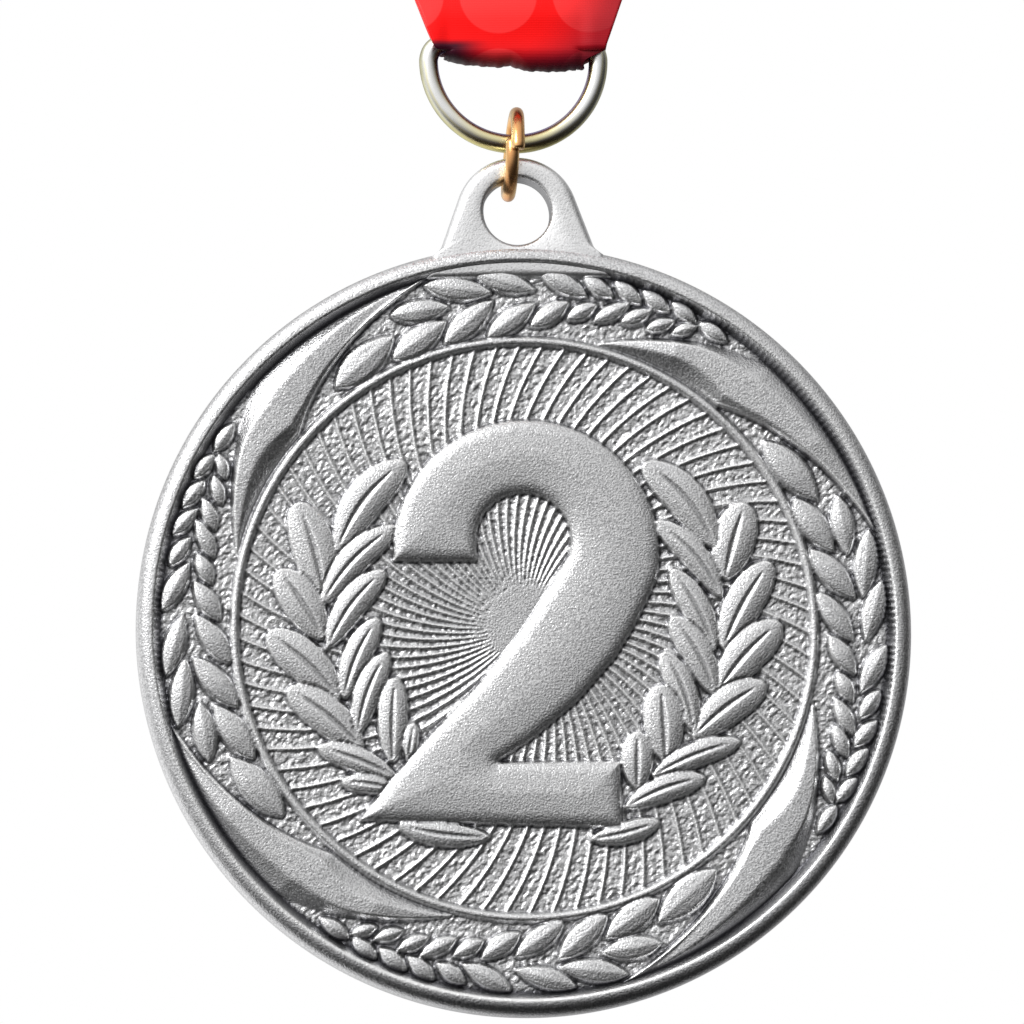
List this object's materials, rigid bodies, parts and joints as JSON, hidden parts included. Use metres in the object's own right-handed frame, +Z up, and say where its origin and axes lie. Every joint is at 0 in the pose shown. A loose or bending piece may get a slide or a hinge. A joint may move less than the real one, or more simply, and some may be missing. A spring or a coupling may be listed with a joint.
{
  "type": "award medal",
  "caption": "Round cast relief medal on a split ring and D-ring, hanging from a folded red satin neck ribbon.",
  "frame": {"origin": "where a hook carries the ribbon's loop: the middle of the loop's inside, at its highest point", "axes": "+Z up along the hanging medal and ribbon, -Y out of the medal's relief face, +X to the right of a viewer who faces the relief"},
  "size_m": [0.065, 0.0126, 0.1525],
  "materials": {
    "medal_silver": "fine sandblasted satin silver plate",
    "gold_wire": "polished gold plate",
    "steel_wire": "bright plate with a yellow tint",
    "red_satin": "satin weave with tone-on-tone dots",
    "band_elastic": "ribbed black elastic",
    "red_thread": "spun sewing thread"
  },
  "bodies": {
    "ribbon": {"ribbon_fold": "red_satin", "ribbon_hank": "red_satin", "ribbon_neck_loop": "red_satin", "ribbon_band": "band_elastic", "front_tack": "red_thread", "back_tack": "red_thread", "loop_seam": "red_thread"},
    "d_ring": {"d_ring": "steel_wire"},
    "jump_ring": {"jump_ring": "gold_wire"},
    "medal": {"medal_casting": "medal_silver"}
  },
  "joints": [
    {"name": "d_ring_swing", "type": "hinge", "parent": "ribbon", "child": "d_ring", "pos_m": [0, 0, -0.0694], "axis": [1, 0, 0], "range_deg": [-70, 70]},
    {"name": "jump_ring_swing", "type": "hinge", "parent": "d_ring", "child": "jump_ring", "pos_m": [0, 0, -0.0781], "axis": [1, 0, 0], "range_deg": [-80, 80]},
    {"name": "medal_swing", "type": "hinge", "parent": "jump_ring", "child": "medal", "pos_m": [0, 0, -0.08246], "axis": [0, 1, 0], "range_deg": [-35, 35]}
  ]
}
